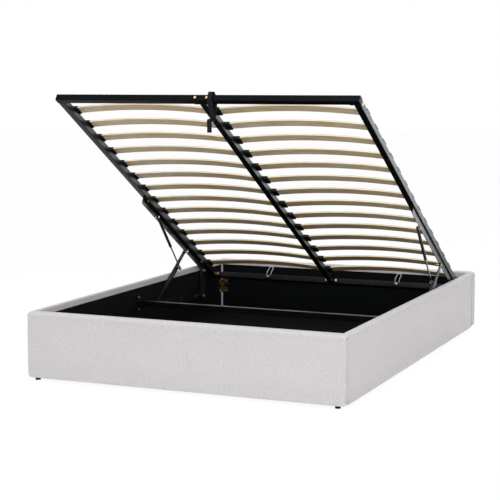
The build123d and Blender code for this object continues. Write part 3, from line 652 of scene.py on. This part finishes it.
def pull_strap():
    """The strap's loop, its tail and its knot, as one piece."""
    low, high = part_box("lid_foot_tube")
    strap_x = sum(corner[0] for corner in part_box("pull_strap")) / 2
    middle_y, middle_z = (low[1] + high[1]) / 2, (low[2] + high[2]) / 2
    loop = [(strap_x + x, middle_y + y, middle_z + z) for x, y, z in STRAP_LOOP]
    tail = [(strap_x + x, middle_y + y, middle_z + z) for x, y, z in STRAP_TAIL]
    forms = [band(smooth_line(loop), LOOP_THICKNESS), band(smooth_line(tail), TAIL_THICKNESS),
             knot((strap_x + KNOT_SIDE, middle_y, middle_z - KNOT_DOWN))]
    points, faces = [], []
    for rows in forms:
        for face in tube_faces(len(rows), len(rows[0])):
            faces.append(tuple(len(points) + corner for corner in face))
        for row in rows:
            points += row
    piece("pull_strap_webbing", points, faces, "lid", "webbing", "pull_strap")


pull_strap()

# Floor, which the camera sees white apart from the object's shadow
FLOOR_SIZE = 60
FLOOR_HEIGHT = -0.0005
FLOOR_COLOUR = (0.9, 0.9, 0.9, 1)
FLOOR_GLOW = 1.03
GLOW_SHARE = 0.9

bpy.ops.mesh.primitive_plane_add(size=FLOOR_SIZE, location=(0, 0, FLOOR_HEIGHT))
floor = bpy.context.object
floor.name = "studio_floor"
floor_material = bpy.data.materials.new("studio_floor")
floor_material.use_nodes = True
floor_tree = floor_material.node_tree
floor_tree.nodes.clear()
floor_out = add(floor_tree, "OutputMaterial")
floor_mix = add(floor_tree, "MixShader")
floor_path = add(floor_tree, "LightPath")
floor_diffuse = add(floor_tree, "BsdfDiffuse", {"Color": FLOOR_COLOUR})
floor_glow = add(floor_tree, "Emission", {"Strength": FLOOR_GLOW})
floor_share = combine(floor_tree, "MULTIPLY", floor_path.outputs["Is Camera Ray"], GLOW_SHARE)
floor_tree.links.new(floor_share, floor_mix.inputs[0])
floor_tree.links.new(floor_diffuse.outputs[0], floor_mix.inputs[1])
floor_tree.links.new(floor_glow.outputs[0], floor_mix.inputs[2])
floor_tree.links.new(floor_mix.outputs[0], floor_out.inputs[0])
floor.data.materials.append(floor_material)

# World: white to the camera, in reflections and through clear parts, and a plain level of light
WORLD_LIGHT = 0.64

world = bpy.data.worlds.new("studio")
bpy.context.scene.world = world
world.use_nodes = True
world_tree = world.node_tree
background = world_tree.nodes["Background"]
background.inputs["Color"].default_value = (1, 1, 1, 1)
rays = add(world_tree, "LightPath").outputs
seen = combine(world_tree, "MAXIMUM", rays["Is Camera Ray"], rays["Is Glossy Ray"])
seen = combine(world_tree, "MAXIMUM", seen, rays["Is Transmission Ray"])
level = combine(world_tree, "ADD", combine(world_tree, "MULTIPLY", seen, 1 - WORLD_LIGHT), WORLD_LIGHT)
world_tree.links.new(level, background.inputs["Strength"])


def lamp(name, place, target, width, height, power, colour=(1, 1, 1)):
    """A soft rectangular lamp that the camera doesn't see."""
    data = bpy.data.lights.new(name, "AREA")
    data.shape = "RECTANGLE"
    data.size = width
    data.size_y = height
    data.energy = power
    data.color = colour
    made = bpy.data.objects.new(name, data)
    bpy.context.scene.collection.objects.link(made)
    made.location = place
    aim = [b - a for a, b in zip(place, target)]
    flat = math.hypot(aim[0], aim[1])
    made.rotation_euler = (math.atan2(flat, -aim[2]), 0, math.atan2(aim[1], aim[0]) - math.pi / 2)
    made.visible_camera = False


lamp("front_lamp", (1.4, -6.0, 1.3), (0, 0, 0.6), width=3.4, height=2.0, power=73)
lamp("side_lamp", (6.0, -1.5, 1.6), (0.5, 0, 0.3), width=2.4, height=2.0, power=34, colour=(1, 0.95, 0.90))
lamp("top_lamp", (0.3, -1.0, 4.6), (0, -0.6, 0.3), width=2.4, height=1.6, power=68)
lamp("back_right_lamp", (2.9, 6.0, 0.9), (0.3, -0.3, 0.6), width=3.2, height=2.4, power=58,
     colour=(0.93, 0.97, 1))

bpy.context.scene.view_settings.view_transform = "Standard"
